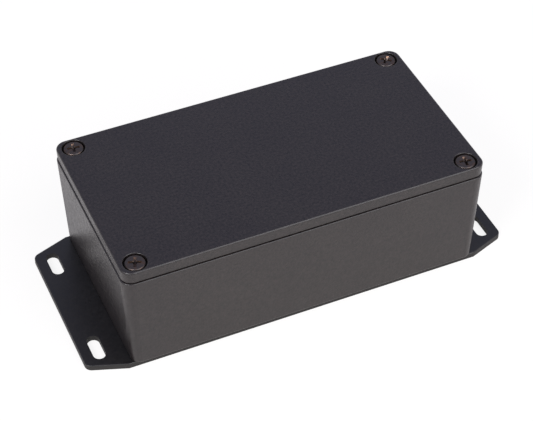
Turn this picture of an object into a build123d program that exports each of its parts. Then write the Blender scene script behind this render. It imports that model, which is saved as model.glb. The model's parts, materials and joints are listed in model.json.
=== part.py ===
from build123d import *
import os
from math import atan2, degrees

# Overall sizes in millimetres. X runs along the box and Z is up from the flange plate's underside.
box_length = 150.0
box_width = 80.0
corner_radius = 4.8

# Body: the deep casting, which leans in towards its foot, its ends more than its long sides
body_height = 43.9
body_end_lean = 1.75
body_side_lean = 0.9
foot_corner_radius = 3.6
body_wall = 2.8
body_floor = 3.0
body_foot_radius = 0.8
body_rim_radius = 0.5
cavity_floor_radius = 0.8

# Lid: the shallow casting, a little smaller than the body's rim at the seam, which spreads towards its top
lid_inset = 0.45
lid_height = 5.2
lid_spread = 0.25
lid_plate = 2.4
lid_top_radius = 0.8
lid_seam_radius = 0.3
lid_ledge = 1.2

# The gasket holds the lid this far off the body's rim
seam_gap = 0.4

# Seal: a tongue on the body's rim presses the gasket into the lid's groove
seal_inset = 2.1
seal_screw_distance = 4.4
seal_turn = 2.0
tongue_width = 1.2
tongue_height = 1.2
groove_width = 1.8
groove_depth = 1.8
gasket_side_gap = 0.1

# Lid screws, M4, and the posts that they enter
screw_inset_x = 6.8
screw_inset_y = 5.7
screw_radius = 1.95
tapped_radius = 2.0
clearance_radius = 2.25
tip_chamfer = 0.5
tapped_mouth = 0.3
lid_screw_length = 14.0
lid_screw_hole_depth = 14.0
pan_radius = 4.0
pan_height = 2.5
pan_edge_radius = 0.5
counterbore_radius = 4.6
counterbore_depth = 2.6
counterbore_mouth = 0.45
lid_screw_turns = (70.0, 81.0, 79.0, 48.0)
post_radius = 6.0
post_lean = 0.8
post_turn = 2.6

# Cross recess of every screw
cross_span = 4.5
cross_width = 1.1
cross_depth = 1.7
cross_taper = 9.0

# Flange plate: a little narrower than the body's foot, with two ears that taper
plate_thickness = 2.5
plate_side_inset = 2.2
plate_reach = 15.2
ear_taper_length = 15.5
ear_taper_width = 5.5
ear_corner_radius = 3.0
plate_edge_radius = 0.4
slot_inset_x = 6.8
slot_inset_y = 13.1
slot_length = 12.5
slot_width = 5.0

# Plate screws, M4 countersunk, which enter blind pads in the body's floor
plate_screw_inset_x = 15.0
plate_screw_inset_y = 20.0
plate_screw_length = 8.0
plate_screw_hole_depth = 8.0
sink_radius = 4.1
flat_radius = 3.8
flat_inset = 0.1
flat_edge_radius = 0.1
pad_radius = 4.5
pad_height = 7.0

# Pads for a circuit board on the floor, and upright card guides on the long walls
board_inset_x = 25.0
board_inset_y = 14.0
board_pad_radius = 3.5
board_pad_height = 8.0
board_hole_radius = 1.25
board_hole_depth = 7.0
pad_draft = 2.0
guide_spacing = 28.0
guide_count = 4
guide_gap = 2.0
guide_rib = 1.6
guide_reach = 2.0
guide_drop = 8.0

# Heights of the faces where pieces meet
rim_z = plate_thickness + body_height
floor_z = plate_thickness + body_floor
lid_z = rim_z + seam_gap
top_z = lid_z + lid_height
counterbore_z = top_z - counterbore_depth
groove_z = lid_z + groove_depth

# Half sizes and places that follow from the values above
half_length = box_length / 2
half_width = box_width / 2
screw_x = half_length - screw_inset_x
screw_y = half_width - screw_inset_y
lid_length = box_length - 2 * lid_inset
lid_width = box_width - 2 * lid_inset
lid_draft = degrees(atan2(lid_spread, lid_height))
plate_half_width = half_width - plate_side_inset
plate_half_length = half_length + plate_reach
slot_x = plate_half_length - slot_inset_x
slot_y = plate_half_width - slot_inset_y
plate_screw_x = half_length - plate_screw_inset_x
plate_screw_y = half_width - plate_screw_inset_y
board_x = half_length - board_inset_x
board_y = half_width - board_inset_y
cavity_depth = body_height - body_floor
floor_end_lean = body_end_lean * cavity_depth / body_height
floor_side_lean = body_side_lean * cavity_depth / body_height
guide_root = half_width - body_wall - floor_side_lean


def stepped_area(half_x, half_y, screw_distance, turn):
    """Area inside a line that follows the four walls and steps inwards round each screw"""
    step_x = half_x - screw_x + screw_distance
    step_y = half_y - screw_y + screw_distance
    room = min(half_x - screw_x, half_y - screw_y)
    with BuildSketch() as area:
        Rectangle(2 * half_x, 2 * half_y)
        with GridLocations(2 * half_x, 2 * half_y, 2, 2):
            Rectangle(2 * step_x, 2 * step_y, mode=Mode.SUBTRACT)
        inward = area.vertices().group_by(SortBy.DISTANCE)[0]
        fillet(area.vertices() - inward, radius=min(turn, 0.9 * room))
        fillet(area.vertices().group_by(SortBy.DISTANCE)[0], radius=screw_distance)
    return area.sketch


def drilled_hole(radius, depth):
    """Blind hole as a drill leaves it, from the plane Z = 0 downwards, with a wider mouth"""
    with BuildPart() as hole:
        with BuildSketch(Plane.XZ):
            with BuildLine():
                Polyline(
                    (0, 0),
                    (radius + tapped_mouth, 0),
                    (radius, -tapped_mouth),
                    (radius, -depth),
                    (0, -depth - radius / 2),
                    close=True,
                )
            make_face()
        revolve(axis=Axis.Z)
    return hole.part


def counterbored_hole():
    """Room for a lid screw, from the lid's top face at Z = 0 downwards, with a rounded mouth"""
    with BuildPart() as hole:
        with BuildSketch(Plane.XZ):
            with BuildLine():
                Polyline(
                    (counterbore_radius, -counterbore_mouth),
                    (counterbore_radius, -counterbore_depth),
                    (clearance_radius, -counterbore_depth),
                    (clearance_radius, -lid_height - seam_gap),
                    (0, -lid_height - seam_gap),
                    (0, counterbore_mouth),
                    (counterbore_radius + counterbore_mouth, counterbore_mouth),
                    (counterbore_radius + counterbore_mouth, 0),
                )
                RadiusArc(
                    (counterbore_radius + counterbore_mouth, 0),
                    (counterbore_radius, -counterbore_mouth),
                    -counterbore_mouth,
                )
            make_face()
        revolve(axis=Axis.Z)
    return hole.part


def cross_screw(head, length, edge_radius):
    """Screw turned from the outline of its head, seat first, with a shank and a cross recess"""
    head_top = head[-1][1]
    with BuildPart() as screw:
        with BuildSketch(Plane.XZ):
            with BuildLine():
                Polyline(
                    *head,
                    (0, head_top),
                    (0, -length),
                    (screw_radius - tip_chamfer, -length),
                    (screw_radius, -length + tip_chamfer),
                    (screw_radius, head[0][1]),
                    close=True,
                )
            make_face()
        revolve(axis=Axis.Z)
        fillet(screw.edges().group_by(Axis.Z)[-1], radius=edge_radius)
        with BuildSketch(Plane.XY.offset(head_top)):
            Rectangle(cross_span, cross_width)
            Rectangle(cross_width, cross_span)
        extrude(amount=-cross_depth, taper=cross_taper, mode=Mode.SUBTRACT)
    return screw.part


seal_area = stepped_area(half_length - seal_inset, half_width - seal_inset, seal_screw_distance, seal_turn)
hollow_inset = seal_inset + groove_width / 2 + lid_ledge
hollow_area = stepped_area(
    half_length - hollow_inset,
    half_width - hollow_inset,
    seal_screw_distance + groove_width / 2 + lid_ledge,
    seal_turn,
)
lid_screw_hole = drilled_hole(tapped_radius, lid_screw_hole_depth)
plate_screw_hole = Rot(180, 0, 0) * drilled_hole(tapped_radius, plate_screw_hole_depth)
lid_hole = counterbored_hole()

# Cavity: the room inside the body, whose corners step round the screw posts
mouth_area = stepped_area(half_length - body_wall, half_width - body_wall, post_radius, post_turn)
floor_area = stepped_area(
    half_length - body_wall - floor_end_lean,
    half_width - body_wall - floor_side_lean,
    post_radius + post_lean,
    post_turn,
)
with BuildPart() as cavity:
    with BuildSketch(Plane.XY.offset(floor_z)):
        add(floor_area)
    with BuildSketch(Plane.XY.offset(rim_z)):
        add(mouth_area)
    loft(ruled=True)
    fillet(cavity.faces().sort_by(Axis.Z)[0].edges(), radius=cavity_floor_radius)

# Body: drafted box, hollowed, with its pads, card guides, tapped holes and sealing tongue
with BuildPart() as body:
    with BuildSketch(Plane.XY.offset(plate_thickness)):
        RectangleRounded(box_length - 2 * body_end_lean, box_width - 2 * body_side_lean, foot_corner_radius)
    with BuildSketch(Plane.XY.offset(rim_z)):
        RectangleRounded(box_length, box_width, corner_radius)
    loft(ruled=True)
    fillet(body.faces().sort_by(Axis.Z)[0].edges(), radius=body_foot_radius)
    fillet(body.faces().sort_by(Axis.Z)[-1].edges(), radius=body_rim_radius)
    add(cavity.part, mode=Mode.SUBTRACT)
    with BuildSketch(Plane.XY.offset(rim_z)):
        offset(seal_area, amount=tongue_width / 2, mode=Mode.ADD)
        offset(seal_area, amount=-tongue_width / 2, mode=Mode.SUBTRACT)
    extrude(amount=tongue_height)
    with BuildSketch(Plane.XY.offset(floor_z + pad_height)):
        with GridLocations(2 * plate_screw_x, 2 * plate_screw_y, 2, 2):
            Circle(pad_radius)
    extrude(amount=-pad_height, taper=-pad_draft)
    with BuildSketch(Plane.XY.offset(floor_z + board_pad_height)):
        with GridLocations(2 * board_x, 2 * board_y, 2, 2):
            Circle(board_pad_radius)
    extrude(amount=-board_pad_height, taper=-pad_draft)
    with Locations((0, 0, floor_z + board_pad_height)):
        with GridLocations(2 * board_x, 2 * board_y, 2, 2):
            Hole(board_hole_radius, depth=board_hole_depth)
    with BuildSketch(Plane.XY.offset(floor_z)):
        with GridLocations(guide_spacing, 2 * guide_root, guide_count, 2):
            with GridLocations(guide_gap + guide_rib, 1, 2, 1):
                Rectangle(guide_rib, 2 * guide_reach)
    extrude(amount=cavity_depth - guide_drop)
    with Locations((0, 0, rim_z)):
        with GridLocations(2 * screw_x, 2 * screw_y, 2, 2):
            add(lid_screw_hole, mode=Mode.SUBTRACT)
    with Locations((0, 0, plate_thickness)):
        with GridLocations(2 * plate_screw_x, 2 * plate_screw_y, 2, 2):
            add(plate_screw_hole, mode=Mode.SUBTRACT)
body.part.label = "body"

# Lid: drafted plate with a hollow underside, a groove for the gasket and four counterbored holes
with BuildPart() as lid:
    with BuildSketch(Plane.XY.offset(lid_z)):
        RectangleRounded(lid_length, lid_width, corner_radius - lid_inset)
    extrude(amount=lid_height, taper=-lid_draft)
    fillet(lid.faces().sort_by(Axis.Z)[-1].edges(), radius=lid_top_radius)
    fillet(lid.faces().sort_by(Axis.Z)[0].edges(), radius=lid_seam_radius)
    with BuildSketch(Plane.XY.offset(lid_z)):
        add(hollow_area)
    extrude(amount=lid_height - lid_plate, mode=Mode.SUBTRACT)
    with BuildSketch(Plane.XY.offset(lid_z)):
        offset(seal_area, amount=groove_width / 2, mode=Mode.ADD)
        offset(seal_area, amount=-groove_width / 2, mode=Mode.SUBTRACT)
    extrude(amount=groove_depth, mode=Mode.SUBTRACT)
    with Locations((0, 0, top_z)):
        with GridLocations(2 * screw_x, 2 * screw_y, 2, 2):
            add(lid_hole, mode=Mode.SUBTRACT)
lid.part.label = "lid"

# Gasket: an elastic cord that fills the groove from its ceiling down to the tongue
with BuildPart() as gasket:
    with BuildSketch(Plane.XY.offset(rim_z + tongue_height)):
        offset(seal_area, amount=groove_width / 2 - gasket_side_gap, mode=Mode.ADD)
        offset(seal_area, amount=gasket_side_gap - groove_width / 2, mode=Mode.SUBTRACT)
    extrude(amount=groove_z - rim_z - tongue_height)
gasket.part.label = "lid_gasket"

# Flange plate: flat plate with six-sided ears, a slot beside each ear corner and countersunk holes
with BuildPart() as plate:
    with BuildSketch() as outline:
        with BuildLine() as quarter:
            Polyline(
                (0, plate_half_width),
                (plate_half_length - ear_taper_length, plate_half_width),
                (plate_half_length, plate_half_width - ear_taper_width),
                (plate_half_length, 0),
            )
            mirror(about=Plane.YZ)
            mirror(about=Plane.XZ)
        make_face()
        fillet(outline.vertices().group_by(SortBy.DISTANCE)[-1], radius=ear_corner_radius)
        with GridLocations(2 * slot_x, 2 * slot_y, 2, 2):
            SlotOverall(slot_length, slot_width, rotation=90, mode=Mode.SUBTRACT)
    extrude(amount=plate_thickness)
    fillet(plate.faces().sort_by(Axis.Z)[-1].outer_wire().edges(), radius=plate_edge_radius)
    with Locations(Plane.XY.rotated((180, 0, 0))):
        with GridLocations(2 * plate_screw_x, 2 * plate_screw_y, 2, 2):
            CounterSinkHole(clearance_radius, sink_radius, counter_sink_angle=90)
plate.part.label = "flange_plate"

# Screws: one of each kind, with the underside of the pan head and the face of the flat head at Z = 0
pan_screw = cross_screw([(pan_radius, 0), (pan_radius, pan_height)], lid_screw_length, pan_edge_radius)
flat_land = sink_radius - flat_radius - flat_inset
flat_screw = cross_screw(
    [(screw_radius, -flat_land - flat_radius + screw_radius), (flat_radius, -flat_land), (flat_radius, 0)],
    plate_screw_length,
    flat_edge_radius,
)

pieces = [body.part, lid.part, gasket.part, plate.part]
for number, place in enumerate(GridLocations(2 * screw_x, 2 * screw_y, 2, 2), start=1):
    turn = Rot(0, 0, lid_screw_turns[number - 1])
    screw = Pos(0, 0, counterbore_z) * place * turn * pan_screw
    screw.label = f"lid_screw_{number}"
    pieces.append(screw)
for number, place in enumerate(GridLocations(2 * plate_screw_x, 2 * plate_screw_y, 2, 2), start=1):
    screw = Pos(0, 0, flat_inset) * place * Rot(180, 0, 0) * flat_screw
    screw.label = f"plate_screw_{number}"
    pieces.append(screw)

os.makedirs("parts", exist_ok=True)
for piece in pieces:
    export_step(piece, f"parts/{piece.label}.step")
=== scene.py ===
import json
import math

import bmesh
import bpy
from mathutils import Matrix, Vector


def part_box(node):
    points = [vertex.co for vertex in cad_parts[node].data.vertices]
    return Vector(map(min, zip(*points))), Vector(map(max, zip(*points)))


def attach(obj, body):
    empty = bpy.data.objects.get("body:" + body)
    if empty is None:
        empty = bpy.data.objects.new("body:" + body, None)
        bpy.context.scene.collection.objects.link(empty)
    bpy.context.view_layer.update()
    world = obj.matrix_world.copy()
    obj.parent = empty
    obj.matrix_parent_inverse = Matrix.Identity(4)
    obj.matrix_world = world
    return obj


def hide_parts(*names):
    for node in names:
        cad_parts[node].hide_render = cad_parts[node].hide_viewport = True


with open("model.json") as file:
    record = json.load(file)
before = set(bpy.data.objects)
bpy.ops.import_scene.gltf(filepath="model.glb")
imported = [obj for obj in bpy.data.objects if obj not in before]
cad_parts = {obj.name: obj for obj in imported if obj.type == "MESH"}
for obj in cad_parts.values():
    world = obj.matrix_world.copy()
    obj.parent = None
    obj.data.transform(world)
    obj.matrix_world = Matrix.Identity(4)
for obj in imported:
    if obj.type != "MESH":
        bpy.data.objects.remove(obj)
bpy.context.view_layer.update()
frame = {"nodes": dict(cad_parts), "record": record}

MM = 0.001  # one millimetre in metres: every size below is in millimetres
FULL_TURN = 2 * math.pi
QUARTER_TURN = FULL_TURN / 4
CORNERS = ("front_left", "back_left", "front_right", "back_right")

# Shank of both kinds of screw, and how far the thread keeps from its tip and from the head
SHANK_RADIUS = 1.6
TIP_CHAMFER = 0.25
TIP_CLEAR = 0.4
HEAD_CLEAR = 0.6
TURNED_STEPS = 64
DOUBLES_DISTANCE = 0.002
SHARP_ANGLE = math.radians(35)

# Pan head screw, M4, whose seat is at height 0. Its turns are in degrees, in the order of CORNERS.
PAN_RADIUS = 4.0
PAN_HEIGHT = 2.5
PAN_EDGE = 0.8
PAN_CROWN = 0.08
PAN_FOOT = 0.12
PAN_CROWN_STEPS = 4
PAN_EDGE_STEPS = 6
LID_SCREW_LENGTH = 14.0
LID_SCREW_TURNS = (70.0, 81.0, 79.0, 48.0)

# Countersunk screw, M4, whose face is at height 0 and whose cone of 90 degrees ends at the shank
FLAT_RADIUS = 3.8
FLAT_LAND = 0.2
FLAT_EDGE = 0.1
FLAT_CONE_FOOT = SHANK_RADIUS - FLAT_RADIUS - FLAT_LAND
PLATE_SCREW_LENGTH = 8.0

# M4 thread and cross recess, by the names of the screw tree's inputs
SCREW_SIZES = {
    "Thread radius": 1.95,
    "Thread inner radius": 1.5,
    "Thread pitch": 0.7,
    "Thread foot width": 0.658,
    "Thread crest width": 0.08,
    "Recess span": 5.0,
    "Recess width": 1.1,
    "Recess depth": 1.9,
    "Recess foot span": 2.5,
    "Recess foot width": 0.66,
    "Recess cone radius": 1.1,
    "Recess cone tip": 0.15,
    "Recess cone depth": 1.71,
}
THREAD_STEPS = 40
RECESS_CONE_STEPS = 32

# What the screws' points store, by which their steel finds the recess
RECESS_MARK = "from_head_top"

# How the thread starts and ends, as shares of its length and of its height
RUN_OUT_LENGTH = 0.04
RUN_OUT_HEIGHT = 0.1

# Gasket cord, and the line that it follows round the screws
GASKET_WIDTH = 1.6
GASKET_EDGE = 0.3
GASKET_EDGE_STEPS = 4
SEAL_TURN = 2.0
SEAL_TURN_STEPS = 14
SEAL_SCREW_DISTANCE = 4.4

# Powder coat, and the radius of the mouth of a hole that is tapped after it
CASTING_SHADES = ("#191414", "#1D1817")
CASTING_MOTTLE = 0.6
CASTING_PEEL = 0.05
PLATE_SHADES = ("#0F0D0B", "#13100E")
PLATE_MOTTLE = 0.3
PLATE_PEEL = 0.03
PLATE_CUT_EDGE = 0.22
TAPPED_MOUTH = 2.35
BOARD_MOUTH_MARGIN = 0.1

# Floor, whose gap keeps the paper clear of the plate's underside
FLOOR_REACH = 6000.0
FLOOR_GAP = 0.02

# Studio, with the power of its lamps in watts
WALL_COLOUR = "#FFFFFF"
CEILING_COLOUR = "#ADB1CB"
LAMP_DISTANCE = 1600.0
LAMPS = {
    "front_soft_box": {"towards": (0.35, -0.69, 0.63), "size": 1500.0, "power": 24.0},
    "left_soft_box": {"towards": (-0.65, -0.38, 0.66), "size": 500.0, "power": 15.0},
}

# Camera, at the photo's angle: its place is measured from the middle of the lid's top
CAMERA_AZIMUTH = math.radians(-23.647)
CAMERA_ELEVATION = math.radians(43.58)
CAMERA_ROLL = math.radians(-0.1)
CAMERA_DISTANCE = 654.3
CAMERA_RIGHT = -0.837
CAMERA_UP = -21.95
CAMERA_LENS = 113.65
CAMERA_SENSOR = 36.0
CAMERA_NEAR = 10.0
CAMERA_FAR = 50000.0

# Nodes that are used often. A Mix of colours takes sockets 0, 6 and 7 and gives 2, and a Mix of
# numbers takes 0, 2 and 3 and gives 0.
MATH = "ShaderNodeMath"
VECTOR_MATH = "ShaderNodeVectorMath"
COMBINE = "ShaderNodeCombineXYZ"
SEPARATE = "ShaderNodeSeparateXYZ"
RANGE = "ShaderNodeMapRange"
MIX = "ShaderNodeMix"
NOISE = "ShaderNodeTexNoise"
BUMP = "ShaderNodeBump"
TRANSFORM = "GeometryNodeTransform"
JOIN = "GeometryNodeJoinGeometry"
QUADRILATERAL = "GeometryNodeCurvePrimitiveQuadrilateral"

# What a noise mostly stays within
NOISE_SPREAD = {"From Min": 0.3, "From Max": 0.7}


def linear(colour):
    """Red, green, blue and alpha as light, from an sRGB hex colour such as #1D1817"""
    shares = [int(colour[i : i + 2], 16) / 255 for i in (1, 3, 5)]
    light = [s / 12.92 if s <= 0.04045 else ((s + 0.055) / 1.055) ** 2.4 for s in shares]
    return (*light, 1.0)


def add(tree, kind, sockets=None, **settings):
    """Adds one node with its settings, sets or links its inputs and returns its outputs. A list
    links all that it holds to one input."""
    made = tree.nodes.new(kind)
    for name, value in settings.items():
        setattr(made, name, value)
    for socket, value in (sockets or {}).items():
        for item in value if isinstance(value, list) else [value]:
            if isinstance(item, bpy.types.NodeSocket):
                tree.links.new(item, made.inputs[socket])
            else:
                made.inputs[socket].default_value = item
    return made.outputs


def link_object(name, data):
    """Puts a new object in the scene"""
    made = bpy.data.objects.new(name, data)
    bpy.context.scene.collection.objects.link(made)
    return made


def middle_of(node):
    """The middle of a CAD node's box"""
    low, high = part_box(node)
    return (low + high) / 2


# Materials


def new_finish(name, constants):
    """A material whose shader has these values all over: returns it and its tree"""
    material = bpy.data.materials.new(name)
    material.use_nodes = True
    for socket, value in constants.items():
        material.node_tree.nodes["Principled BSDF"].inputs[socket].default_value = value
    return material, material.node_tree


def drive_finish(material, patterns):
    """Links the sockets of a material's shader to the patterns that vary them"""
    tree = material.node_tree
    for socket, pattern in patterns.items():
        tree.links.new(pattern, tree.nodes["Principled BSDF"].inputs[socket])


def powder_coat(name, shades, mottle, peel_depth, bare_holes=(), cut_edge=0.0):
    """Black polyester powder coat, sprayed on the metal and baked. It flows out satin: the eye sees
    a mottled grain, a slow orange peel and faint clouds. It is rougher, by cut_edge, on the upright
    edges of sheet, where it lies thin, and holes that are tapped after it show bare aluminium."""
    material, tree = new_finish(name, {"IOR": 1.5})
    grain_size = 1.0 * MM  # the real grain is about 0.3 mm: it is drawn coarser, so that it shows
    grain_depth = 0.06 * MM
    peel_size = 2.4 * MM
    cloud_size = 26.0 * MM
    place = add(tree, "ShaderNodeTexCoord")["Object"]
    grain = add(tree, NOISE, {"Vector": place, "Scale": 1 / grain_size, "Detail": 3.0})["Fac"]
    peel = add(tree, NOISE, {"Vector": place, "Scale": 1 / peel_size, "Detail": 2.0})["Fac"]
    cloud = add(tree, NOISE, {"Vector": place, "Scale": 1 / cloud_size, "Detail": 3.0})["Fac"]

    # Colour: clouds of two shades, with the grain's mottle over them
    dark, light = shades
    tint = add(tree, RANGE, {"Value": cloud, **NOISE_SPREAD})["Result"]
    clouded = add(tree, MIX, {0: tint, 6: linear(dark), 7: linear(light)}, data_type="RGBA")[2]
    speckle = add(
        tree,
        RANGE,
        {"Value": grain, **NOISE_SPREAD, "To Min": 1.0 - mottle, "To Max": 1.0 + mottle},
    )["Result"]
    colour = add(tree, VECTOR_MATH, {0: clouded, 1: speckle}, operation="MULTIPLY")["Vector"]

    # Sheen: satin, a little rougher where the peel and the grain stand up
    satin, satin_dull, grain_change = 0.34, 0.42, 0.04
    slow_sheen = add(
        tree, RANGE, {"Value": peel, **NOISE_SPREAD, "To Min": satin, "To Max": satin_dull}
    )["Result"]
    fine_sheen = add(
        tree,
        RANGE,
        {"Value": grain, **NOISE_SPREAD, "To Min": -grain_change, "To Max": grain_change},
    )["Result"]
    roughness = add(tree, MATH, {0: slow_sheen, 1: fine_sheen}, operation="ADD")["Value"]
    if cut_edge:
        half_upright = 0.7  # how far up a face looks that slopes by 45 degrees
        facing = add(tree, "ShaderNodeNewGeometry")["True Normal"]
        upward = add(tree, SEPARATE, {0: facing})["Z"]
        level = add(tree, MATH, {0: upward}, operation="ABSOLUTE")["Value"]
        edge_sheen = add(
            tree,
            RANGE,
            {"Value": level, "From Max": half_upright, "To Min": cut_edge, "To Max": 0.0},
        )["Result"]
        roughness = add(tree, MATH, {0: roughness, 1: edge_sheen}, operation="ADD")["Value"]

    # Bare aluminium in upright holes, each at plus and minus its x and y
    bare_aluminium, bare_sheen = linear("#B9BBBD"), 0.32
    metal = 0.0
    for x, y, radius in bare_holes:
        folded = add(tree, VECTOR_MATH, {0: place}, operation="ABSOLUTE")["Vector"]
        flat = add(tree, VECTOR_MATH, {0: folded, 1: (1, 1, 0)}, operation="MULTIPLY")["Vector"]
        away = add(tree, VECTOR_MATH, {0: flat, 1: (x, y, 0)}, operation="DISTANCE")["Value"]
        hole = add(tree, MATH, {0: away, 1: radius}, operation="LESS_THAN")["Value"]
        metal = add(tree, MATH, {0: metal, 1: hole}, operation="MAXIMUM")["Value"]
    if bare_holes:
        colour = add(tree, MIX, {0: metal, 6: colour, 7: bare_aluminium}, data_type="RGBA")[2]
        roughness = add(tree, MIX, {0: metal, 2: roughness, 3: bare_sheen}, data_type="FLOAT")[0]
        drive_finish(material, {"Metallic": metal})

    coarse = add(
        tree, BUMP, {"Strength": 0.5, "Distance": peel_depth * MM, "Height": peel}
    )["Normal"]
    fine = add(
        tree, BUMP, {"Strength": 0.6, "Distance": grain_depth, "Height": grain, "Normal": coarse}
    )["Normal"]
    drive_finish(material, {"Base Color": colour, "Roughness": roughness, "Normal": fine})
    return material


def black_oxide_steel(name):
    """Steel screw, chemically blackened and oiled: the eye sees dark steel with brown patches that
    shine more, and coppery bare steel where a driver has rubbed in the recess"""
    material, tree = new_finish(name, {"Metallic": 0.85})
    patch_size = 1.3 * MM
    speck_size = 0.18 * MM  # the real grain is finer: it is drawn coarser, so that it shows
    speck_depth = 0.01 * MM
    place = add(tree, "ShaderNodeTexCoord")["Object"]
    patch = add(tree, NOISE, {"Vector": place, "Scale": 1 / patch_size, "Detail": 3.0})["Fac"]
    speck = add(tree, NOISE, {"Vector": place, "Scale": 1 / speck_size, "Detail": 2.0})["Fac"]
    brown = add(tree, RANGE, {"Value": patch, "From Min": 0.45, "From Max": 0.7})["Result"]
    black_steel, brown_steel = linear("#474241"), linear("#57463D")
    coated = add(tree, MIX, {0: brown, 6: black_steel, 7: brown_steel}, data_type="RGBA")[2]

    # Rubbed steel, in patches: on the recess's walls a little below the face, and out from its
    # middle. Each band is nothing at its first height or distance, and full at its second.
    driven = add(
        tree, RANGE, {"Value": patch, "From Min": 0.62, "From Max": 0.42, "To Min": 0.1}
    )["Result"]
    from_top = add(tree, "ShaderNodeAttribute", attribute_name=RECESS_MARK)["Vector"]
    height = add(tree, SEPARATE, {0: from_top})["Z"]
    across = add(tree, VECTOR_MATH, {0: from_top, 1: (1, 1, 0)}, operation="MULTIPLY")["Vector"]
    away = add(tree, VECTOR_MATH, {0: across}, operation="LENGTH")["Value"]
    bands = (
        (height, -0.05, -0.12),
        (height, -0.75, -0.5),
        (away, 0.8, 1.3),
        (away, 2.7, 2.5),
    )
    for measure, none, full in bands:
        band = add(
            tree, RANGE, {"Value": measure, "From Min": none * MM, "From Max": full * MM}
        )["Result"]
        driven = add(tree, MATH, {0: driven, 1: band}, operation="MULTIPLY")["Value"]

    rubbed_steel = linear("#90715B")
    black_sheen, brown_sheen, rubbed_sheen = 0.42, 0.30, 0.28
    colour = add(tree, MIX, {0: driven, 6: coated, 7: rubbed_steel}, data_type="RGBA")[2]
    sheen = add(tree, MIX, {0: brown, 2: black_sheen, 3: brown_sheen}, data_type="FLOAT")[0]
    roughness = add(tree, MIX, {0: driven, 2: sheen, 3: rubbed_sheen}, data_type="FLOAT")[0]
    bump = add(tree, BUMP, {"Strength": 0.3, "Distance": speck_depth, "Height": speck})["Normal"]
    drive_finish(material, {"Base Color": colour, "Roughness": roughness, "Normal": bump})
    return material


def nitrile_rubber(name):
    """Moulded black nitrile rubber: the eye sees a dull black with a pale powdery bloom"""
    material, tree = new_finish(name, {"IOR": 1.52, "Specular IOR Level": 0.3})
    bloom_size = 3.0 * MM
    pore_size = 0.25 * MM  # real pores are finer: they are drawn coarser, so that they show
    pore_depth = 0.02 * MM
    place = add(tree, "ShaderNodeTexCoord")["Object"]
    bloom = add(tree, NOISE, {"Vector": place, "Scale": 1 / bloom_size, "Detail": 4.0})["Fac"]
    pore = add(tree, NOISE, {"Vector": place, "Scale": 1 / pore_size, "Detail": 2.0})["Fac"]
    bloomed = add(tree, RANGE, {"Value": bloom, **NOISE_SPREAD})["Result"]
    clean, powdery = linear("#1A1A1B"), linear("#2A2A2B")
    clean_sheen, powdery_sheen = 0.7, 0.85
    colour = add(tree, MIX, {0: bloomed, 6: clean, 7: powdery}, data_type="RGBA")[2]
    roughness = add(
        tree, MIX, {0: bloomed, 2: clean_sheen, 3: powdery_sheen}, data_type="FLOAT"
    )[0]
    bump = add(tree, BUMP, {"Strength": 0.4, "Distance": pore_depth, "Height": pore})["Normal"]
    drive_finish(material, {"Base Color": colour, "Roughness": roughness, "Normal": bump})
    return material


def white_paper(name):
    """Matt white paper: the eye sees it a little brighter than it is lit, with the object's shadow
    on it. From below it is clear, so that the plate's underside shows."""
    material = bpy.data.materials.new(name)
    material.use_nodes = True
    tree = material.node_tree
    tree.nodes.clear()
    seen_glow, mirrored_glow = 0.85, 0.35  # how much of the white that is seen is its own light
    rays = add(tree, "ShaderNodeLightPath")
    seen = add(
        tree, MATH, {0: rays["Is Camera Ray"], 1: rays["Is Transmission Ray"]}, operation="MAXIMUM"
    )["Value"]
    strong = add(tree, MATH, {0: seen, 1: seen_glow}, operation="MULTIPLY")["Value"]
    faint = add(
        tree, MATH, {0: rays["Is Glossy Ray"], 1: mirrored_glow}, operation="MULTIPLY"
    )["Value"]
    share = add(tree, MATH, {0: strong, 1: faint}, operation="MAXIMUM")["Value"]
    paper = add(tree, "ShaderNodeBsdfDiffuse", {"Color": linear("#F8F1EA")})["BSDF"]
    white = {"Color": linear("#FFFFFF"), "Strength": 1.0}
    glow = add(tree, "ShaderNodeEmission", white)["Emission"]
    sheet = add(tree, "ShaderNodeMixShader", {0: share, 1: paper, 2: glow})["Shader"]
    below = add(tree, "ShaderNodeNewGeometry")["Backfacing"]
    clear = add(tree, "ShaderNodeBsdfTransparent")["BSDF"]
    surface = add(tree, "ShaderNodeMixShader", {0: below, 1: sheet, 2: clear})["Shader"]
    add(tree, "ShaderNodeOutputMaterial", {"Surface": surface})
    return material


# Shapes that Geometry Nodes make


def new_tree(name, inputs):
    """An empty Geometry Nodes tree with named inputs: returns it and its input node's sockets"""
    tree = bpy.data.node_groups.new(name, "GeometryNodeTree")
    tree.interface.new_socket("Geometry", in_out="INPUT", socket_type="NodeSocketGeometry")
    for label, kind in inputs.items():
        tree.interface.new_socket(label, in_out="INPUT", socket_type="NodeSocket" + kind)
    tree.interface.new_socket("Geometry", in_out="OUTPUT", socket_type="NodeSocketGeometry")
    return tree, add(tree, "NodeGroupInput")


def end_tree(tree, geometry, given):
    """Makes the result real, gives it the material and hands it out"""
    real = add(tree, "GeometryNodeRealizeInstances", {"Geometry": geometry})["Geometry"]
    finished = add(
        tree, "GeometryNodeSetMaterial", {"Geometry": real, "Material": given["Material"]}
    )["Geometry"]
    add(tree, "NodeGroupOutput", {"Geometry": finished})


def grow(tree, source, values, name):
    """Runs a tree on a source object and returns what it makes as a plain mesh object"""
    modifier = source.modifiers.new(tree.name, "NODES")
    modifier.node_group = tree
    for item in tree.interface.items_tree:
        if item.in_out == "INPUT" and item.name in values:
            modifier[item.identifier] = values[item.name]
    bpy.context.view_layer.update()
    evaluated = source.evaluated_get(bpy.context.evaluated_depsgraph_get())
    mesh = bpy.data.meshes.new_from_object(evaluated)
    source.modifiers.remove(modifier)
    bpy.data.objects.remove(source)
    return link_object(name, mesh)


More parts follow.
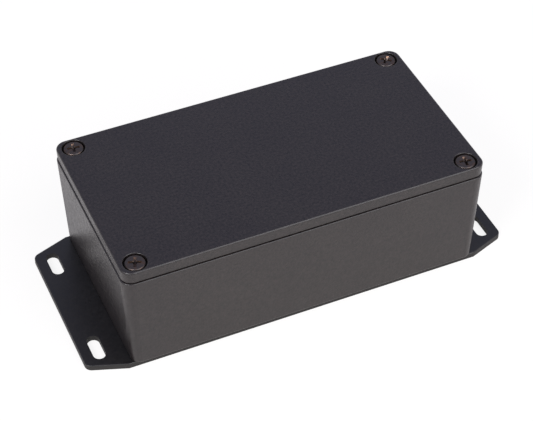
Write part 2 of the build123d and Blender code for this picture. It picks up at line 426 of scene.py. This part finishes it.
def add_thread(tree, given):
    """Ridge of triangular section on a right-hand helix, which starts and ends thin"""
    turns = add(
        tree, MATH, {0: given["Thread length"], 1: given["Thread pitch"]}, operation="DIVIDE"
    )["Value"]
    helix = add(
        tree,
        "GeometryNodeCurveSpiral",
        {
            "Resolution": THREAD_STEPS,
            "Rotations": turns,
            "Start Radius": given["Thread inner radius"],
            "End Radius": given["Thread inner radius"],
            "Height": given["Thread length"],
            "Reverse": True,
        },
    )["Curve"]
    level = add(tree, "GeometryNodeSetCurveNormal", {"Curve": helix}, mode="Z_UP")["Curve"]
    along = add(tree, "GeometryNodeSplineParameter")["Factor"]
    from_end = add(tree, MATH, {0: 1.0, 1: along}, operation="SUBTRACT")["Value"]
    nearer_end = add(tree, MATH, {0: along, 1: from_end}, operation="MINIMUM")["Value"]
    run_out = add(
        tree,
        RANGE,
        {"Value": nearer_end, "From Max": RUN_OUT_LENGTH, "To Min": RUN_OUT_HEIGHT, "To Max": 1.0},
    )["Result"]
    height = add(
        tree,
        MATH,
        {0: given["Thread radius"], 1: given["Thread inner radius"]},
        operation="SUBTRACT",
    )["Value"]
    corners = (
        ("Point 1", 0.0, "Thread foot width", -0.5),
        ("Point 2", height, "Thread crest width", -0.5),
        ("Point 3", height, "Thread crest width", 0.5),
        ("Point 4", 0.0, "Thread foot width", 0.5),
    )
    points = {}
    for point, out, width, share in corners:
        up = add(tree, MATH, {0: given[width], 1: share}, operation="MULTIPLY")["Value"]
        points[point] = add(tree, COMBINE, {"X": out, "Y": up})["Vector"]
    section = add(tree, QUADRILATERAL, points, mode="POINTS")["Curve"]
    ridge = add(
        tree,
        "GeometryNodeCurveToMesh",
        {"Curve": level, "Profile Curve": section, "Scale": run_out, "Fill Caps": True},
    )["Mesh"]
    start = add(tree, COMBINE, {"Z": given["Thread start"]})["Vector"]
    return add(tree, TRANSFORM, {"Geometry": ridge, "Translation": start})["Geometry"]


def add_recess_cutter(tree, given):
    """Two wings at right angles, which narrow downwards, and a cone between them"""
    above_and_below = add(
        tree, MATH, {0: given["Recess depth"], 1: 2.0}, operation="MULTIPLY"
    )["Value"]
    wing_size = add(
        tree,
        COMBINE,
        {"X": given["Recess span"], "Y": given["Recess width"], "Z": above_and_below},
    )["Vector"]
    wing = add(tree, "GeometryNodeMeshCube", {"Size": wing_size, "Vertices Z": 3})["Mesh"]
    where = add(tree, "GeometryNodeInputPosition")["Position"]
    height = add(tree, SEPARATE, {0: where})["Z"]
    sunk = add(tree, MATH, {0: height, 1: given["Recess depth"]}, operation="DIVIDE")["Value"]
    shares = {"Z": 1.0}
    for axis, size, foot_size in (
        ("X", "Recess span", "Recess foot span"),
        ("Y", "Recess width", "Recess foot width"),
    ):
        foot_share = add(
            tree, MATH, {0: given[foot_size], 1: given[size]}, operation="DIVIDE"
        )["Value"]
        shares[axis] = add(
            tree,
            RANGE,
            {"Value": sunk, "From Min": -1.0, "From Max": 0.0, "To Min": foot_share},
            clamp=False,
        )["Result"]
    shrink = add(tree, COMBINE, shares)["Vector"]
    narrowed = add(tree, VECTOR_MATH, {0: where, 1: shrink}, operation="MULTIPLY")["Vector"]
    tapered = add(
        tree, "GeometryNodeSetPosition", {"Geometry": wing, "Position": narrowed}
    )["Geometry"]
    crossing = add(
        tree, TRANSFORM, {"Geometry": tapered, "Rotation": (0, 0, QUARTER_TURN)}
    )["Geometry"]
    cone = add(
        tree,
        "GeometryNodeMeshCone",
        {
            "Vertices": RECESS_CONE_STEPS,
            "Radius Top": given["Recess cone radius"],
            "Radius Bottom": given["Recess cone tip"],
            "Depth": given["Recess cone depth"],
        },
    )["Mesh"]
    drop = add(tree, MATH, {0: given["Recess cone depth"], 1: -1.0}, operation="MULTIPLY")["Value"]
    cone_place = add(tree, COMBINE, {"Z": drop})["Vector"]
    low_cone = add(tree, TRANSFORM, {"Geometry": cone, "Translation": cone_place})["Geometry"]
    cutter = add(tree, JOIN, {"Geometry": [tapered, crossing, low_cone]})["Geometry"]
    cutter_place = add(tree, COMBINE, {"Z": given["Recess top"]})["Vector"]
    return add(tree, TRANSFORM, {"Geometry": cutter, "Translation": cutter_place})["Geometry"]


def mark_place(tree, given, head):
    """Stores each point's place, from the middle of the head's top"""
    place = add(tree, "GeometryNodeInputPosition")["Position"]
    top = add(tree, COMBINE, {"Z": given["Recess top"]})["Vector"]
    from_top = add(tree, VECTOR_MATH, {0: place, 1: top}, operation="SUBTRACT")["Vector"]
    return add(
        tree,
        "GeometryNodeStoreNamedAttribute",
        {"Geometry": head, "Name": RECESS_MARK, "Value": from_top},
        data_type="FLOAT_VECTOR",
        domain="POINT",
    )["Geometry"]


def screw_tree():
    """Gives a turned screw blank its thread and cross recess, and puts it in place"""
    sizes = [*SCREW_SIZES, "Thread length", "Thread start", "Recess top"]
    inputs = {label: "Float" for label in sizes}
    inputs.update({"Place": "Vector", "Turn": "Vector", "Material": "Material"})
    tree, given = new_tree("cross_recess_screw", inputs)
    thread = add_thread(tree, given)
    cut = add(
        tree,
        "GeometryNodeMeshBoolean",
        {
            "Mesh 1": given["Geometry"],
            "Mesh 2": add_recess_cutter(tree, given),
            "Self Intersection": True,
        },
        operation="DIFFERENCE",
        solver="EXACT",
    )["Mesh"]
    marked = mark_place(tree, given, cut)
    whole = add(tree, JOIN, {"Geometry": [thread, marked]})["Geometry"]
    placed = add(
        tree,
        TRANSFORM,
        {"Geometry": whole, "Translation": given["Place"], "Rotation": given["Turn"]},
    )["Geometry"]
    end_tree(tree, placed, given)
    return tree


def gasket_tree():
    """Rounds each corner of the seal's line by its point's radius, and sweeps the cord along it"""
    inputs = {label: "Float" for label in ("Cord width", "Cord height", "Cord edge")}
    tree, given = new_tree("gasket_cord", {**inputs, "Material": "Material"})
    turn = add(tree, "GeometryNodeInputRadius")["Radius"]
    rounded = add(
        tree,
        "GeometryNodeFilletCurve",
        {"Curve": given["Geometry"], "Radius": turn, "Count": SEAL_TURN_STEPS},
        mode="POLY",
    )["Curve"]
    line = add(tree, "GeometryNodeSetCurveRadius", {"Curve": rounded, "Radius": 1.0})["Curve"]
    section = add(
        tree,
        QUADRILATERAL,
        {"Width": given["Cord width"], "Height": given["Cord height"]},
        mode="RECTANGLE",
    )["Curve"]
    soft_section = add(
        tree,
        "GeometryNodeFilletCurve",
        {"Curve": section, "Radius": given["Cord edge"], "Count": GASKET_EDGE_STEPS},
        mode="POLY",
    )["Curve"]
    cord = add(
        tree, "GeometryNodeCurveToMesh", {"Curve": line, "Profile Curve": soft_section}
    )["Mesh"]
    end_tree(tree, cord, given)
    return tree


# Screws

SCREW_STEEL = black_oxide_steel("black_oxide_steel")
SCREW_TREE = screw_tree()


def turned_blank(outline):
    """Turns an outline of (radius, height) points round the upright axis into a closed mesh"""
    mesh = bpy.data.meshes.new("screw_blank")
    work = bmesh.new()
    points = [work.verts.new((radius * MM, 0, height * MM)) for radius, height in outline]
    edges = [work.edges.new(pair) for pair in zip(points, points[1:])]
    bmesh.ops.spin(
        work,
        geom=points + edges,
        axis=(0, 0, 1),
        cent=(0, 0, 0),
        angle=FULL_TURN,
        steps=TURNED_STEPS,
    )
    bmesh.ops.remove_doubles(work, verts=work.verts, dist=DOUBLES_DISTANCE * MM)
    bmesh.ops.recalc_face_normals(work, faces=work.faces)
    work.to_mesh(mesh)
    work.free()
    return link_object("screw_blank", mesh)


def shank_outline(start, length):
    """Round shank and chamfered tip, from under the head down to the axis"""
    return [
        (SHANK_RADIUS, start),
        (SHANK_RADIUS, TIP_CHAMFER - length),
        (SHANK_RADIUS - TIP_CHAMFER, -length),
        (0, -length),
    ]


def pan_outline():
    """Pan head screw: an almost flat crown, a small round edge and an upright side"""
    flat_radius = PAN_RADIUS - PAN_EDGE
    edge_foot = PAN_HEIGHT - PAN_CROWN - PAN_EDGE
    crown = []
    for step in range(PAN_CROWN_STEPS):
        share = step / PAN_CROWN_STEPS
        crown.append((flat_radius * share, PAN_HEIGHT - PAN_CROWN * share**2))
    edge = []
    for step in range(PAN_EDGE_STEPS + 1):
        angle = QUARTER_TURN * step / PAN_EDGE_STEPS
        edge.append(
            (flat_radius + PAN_EDGE * math.sin(angle), edge_foot + PAN_EDGE * math.cos(angle))
        )
    foot = [(PAN_RADIUS, PAN_FOOT), (PAN_RADIUS - PAN_FOOT, 0)]
    return crown + edge + foot + shank_outline(0, LID_SCREW_LENGTH)


def flat_outline():
    """Countersunk screw: a flat face, a thin land and a cone of 90 degrees"""
    face = [(0, 0), (FLAT_RADIUS - FLAT_EDGE, 0), (FLAT_RADIUS, -FLAT_EDGE)]
    land = [(FLAT_RADIUS, -FLAT_LAND)]
    return face + land + shank_outline(FLAT_CONE_FOOT, PLATE_SCREW_LENGTH)


def thread_lengths(shank_start, screw_length):
    """The thread's start and length, clear of the tip and of the head"""
    start = TIP_CLEAR - screw_length
    return {"Thread start": start, "Thread length": shank_start - HEAD_CLEAR - start}


def make_screw(name, node, body, outline, lengths, place, turn):
    """One finished screw that stands for its CAD node"""
    values = {label: length * MM for label, length in {**SCREW_SIZES, **lengths}.items()}
    values.update({"Place": place, "Turn": turn, "Material": SCREW_STEEL})
    piece = grow(SCREW_TREE, turned_blank(outline), values, name)
    piece.data.shade_smooth()
    piece.data.set_sharp_from_angle(angle=SHARP_ANGLE)
    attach(piece, body)
    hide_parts(node)


def make_lid_screw(number, corner):
    """Pan head screw in the lid, turned as the photo shows it"""
    node = f"lid_screw_{number}"
    low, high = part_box(node)
    middle = (low + high) / 2
    make_screw(
        f"{corner}_lid_screw",
        node,
        f"lid_screw_{corner}",
        pan_outline(),
        {**thread_lengths(0, LID_SCREW_LENGTH), "Recess top": PAN_HEIGHT},
        place=(middle.x, middle.y, high.z - PAN_HEIGHT * MM),
        turn=(0, 0, math.radians(LID_SCREW_TURNS[number - 1])),
    )


def make_plate_screw(number, corner):
    """Countersunk screw in the plate, put in from below"""
    node = f"plate_screw_{number}"
    low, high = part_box(node)
    middle = (low + high) / 2
    make_screw(
        f"{corner}_plate_screw",
        node,
        "box",
        flat_outline(),
        {**thread_lengths(FLAT_CONE_FOOT, PLATE_SCREW_LENGTH), "Recess top": 0.0},
        place=(middle.x, middle.y, low.z),
        turn=(FULL_TURN / 2, 0, 0),
    )


# Gasket


def seal_line():
    """The closed line that steps inwards round each lid screw: a point's radius is the turn that
    the line takes there"""
    low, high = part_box("lid_gasket")
    screw = middle_of("lid_screw_4")
    seal_x = high.x - GASKET_WIDTH / 2 * MM
    seal_y = high.y - GASKET_WIDTH / 2 * MM
    step_x = screw.x - SEAL_SCREW_DISTANCE * MM
    step_y = screw.y - SEAL_SCREW_DISTANCE * MM
    quarter = [
        (seal_x, step_y, SEAL_TURN),
        (step_x, step_y, SEAL_SCREW_DISTANCE),
        (step_x, seal_y, SEAL_TURN),
    ]
    back = quarter + [(-x, y, turn) for x, y, turn in reversed(quarter)]
    seal = back + [(x, -y, turn) for x, y, turn in reversed(back)]
    line = bpy.data.curves.new("seal_line", "CURVE")
    line.dimensions = "3D"
    spline = line.splines.new("POLY")
    spline.points.add(len(seal) - 1)
    for point, (x, y, turn) in zip(spline.points, seal):
        point.co = (x, y, (low.z + high.z) / 2, 1)
        point.radius = turn * MM
    spline.use_cyclic_u = True
    return link_object("seal_line", line)


def make_gasket():
    """Elastic cord of rounded section, all along the seal's line"""
    low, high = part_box("lid_gasket")
    gasket = grow(
        gasket_tree(),
        seal_line(),
        {
            "Cord width": GASKET_WIDTH * MM,
            "Cord height": high.z - low.z,
            "Cord edge": GASKET_EDGE * MM,
            "Material": nitrile_rubber("black_nitrile_rubber"),
        },
        "lid_gasket_cord",
    )
    gasket.data.shade_smooth()
    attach(gasket, "lid")
    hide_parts("lid_gasket")


# Castings and plate


def tapped_holes():
    """The body's tapped holes in one quarter of it: the x, the y and the radius of each mouth"""
    lid_screw = middle_of("lid_screw_4")
    plate_screw = middle_of("plate_screw_4")
    mounts = frame["record"]["mounts"]
    board = next(mount["dims"] for mount in mounts if mount["name"] == "board_pads")
    board_mouth = board["hole_r_mm"] + BOARD_MOUTH_MARGIN
    return [
        (lid_screw.x, lid_screw.y, TAPPED_MOUTH * MM),
        (plate_screw.x, plate_screw.y, TAPPED_MOUTH * MM),
        (board["spacing_x_mm"] / 2 * MM, board["spacing_y_mm"] / 2 * MM, board_mouth * MM),
    ]


def coat_castings_and_plate():
    """Gives the CAD pieces themselves their coat"""
    casting = (CASTING_SHADES, CASTING_MOTTLE, CASTING_PEEL)
    plate = (PLATE_SHADES, PLATE_MOTTLE, PLATE_PEEL)
    coats = {
        "body": powder_coat("cast_body_black_powder_coat", *casting, bare_holes=tapped_holes()),
        "lid": powder_coat("cast_lid_black_powder_coat", *casting),
        "flange_plate": powder_coat("plate_black_powder_coat", *plate, cut_edge=PLATE_CUT_EDGE),
    }
    for name, coat in coats.items():
        materials = frame["nodes"][name].data.materials
        materials.clear()
        materials.append(coat)


# Surroundings


def lay_floor():
    """A wide square of paper, just below the plate"""
    corners = [(-1, -1), (1, -1), (1, 1), (-1, 1)]
    reach = FLOOR_REACH * MM
    points = [(x * reach, y * reach, -FLOOR_GAP * MM) for x, y in corners]
    mesh = bpy.data.meshes.new("floor")
    mesh.from_pydata(points, [], [(0, 1, 2, 3)])
    mesh.materials.append(white_paper("white_paper"))
    link_object("floor", mesh)


def paint_studio():
    """White walls near the horizon, and a cooler and darker ceiling"""
    world = bpy.data.worlds.new("studio")
    bpy.context.scene.world = world
    world.use_nodes = True
    tree = world.node_tree
    tree.nodes.clear()
    direction = add(tree, "ShaderNodeTexCoord")["Generated"]
    upward = add(tree, SEPARATE, {0: direction})["Z"]
    ceiling = add(tree, RANGE, {"Value": upward, "From Min": 0.05, "From Max": 0.45})["Result"]
    shades = {0: ceiling, 6: linear(WALL_COLOUR), 7: linear(CEILING_COLOUR)}
    studio = add(tree, MIX, shades, data_type="RGBA")[2]
    light = add(tree, "ShaderNodeBackground", {"Color": studio, "Strength": 1.0})["Background"]
    add(tree, "ShaderNodeOutputWorld", {"Surface": light})


def hang_soft_box(name, towards, size, power):
    """A square lamp that hangs in a direction from the object and faces it"""
    lamp = bpy.data.lights.new(name, "AREA")
    lamp.shape = "SQUARE"
    lamp.size = size * MM
    lamp.energy = power
    made = link_object(name, lamp)
    made.location = Vector(towards).normalized() * LAMP_DISTANCE * MM
    made.rotation_mode = "QUATERNION"
    made.rotation_quaternion = Vector(towards).to_track_quat("Z", "Y")


def place_camera():
    """Looks at the lid from the photo's angle"""
    back = Vector(
        (
            math.sin(CAMERA_AZIMUTH) * math.cos(CAMERA_ELEVATION),
            -math.cos(CAMERA_AZIMUTH) * math.cos(CAMERA_ELEVATION),
            math.sin(CAMERA_ELEVATION),
        )
    )
    right = Vector((math.cos(CAMERA_AZIMUTH), math.sin(CAMERA_AZIMUTH), 0))
    up = back.cross(right)
    data = bpy.data.cameras.new("camera")
    data.lens = CAMERA_LENS
    data.sensor_width = CAMERA_SENSOR
    data.clip_start = CAMERA_NEAR * MM
    data.clip_end = CAMERA_FAR * MM
    camera = link_object("camera", data)
    lid_top = Vector((0, 0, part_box("lid")[1].z))
    place = lid_top + (back * CAMERA_DISTANCE + right * CAMERA_RIGHT + up * CAMERA_UP) * MM
    facing = Matrix((right, up, back)).transposed().to_4x4()
    roll = Matrix.Rotation(CAMERA_ROLL, 4, "Z")
    camera.matrix_world = Matrix.Translation(place) @ facing @ roll
    bpy.context.scene.camera = camera


for number, corner in enumerate(CORNERS, start=1):
    make_lid_screw(number, corner)
    make_plate_screw(number, corner)
make_gasket()
coat_castings_and_plate()
lay_floor()
paint_studio()
for name, lamp in LAMPS.items():
    hang_soft_box(name, **lamp)
place_camera()
bpy.context.scene.view_settings.view_transform = "Standard"
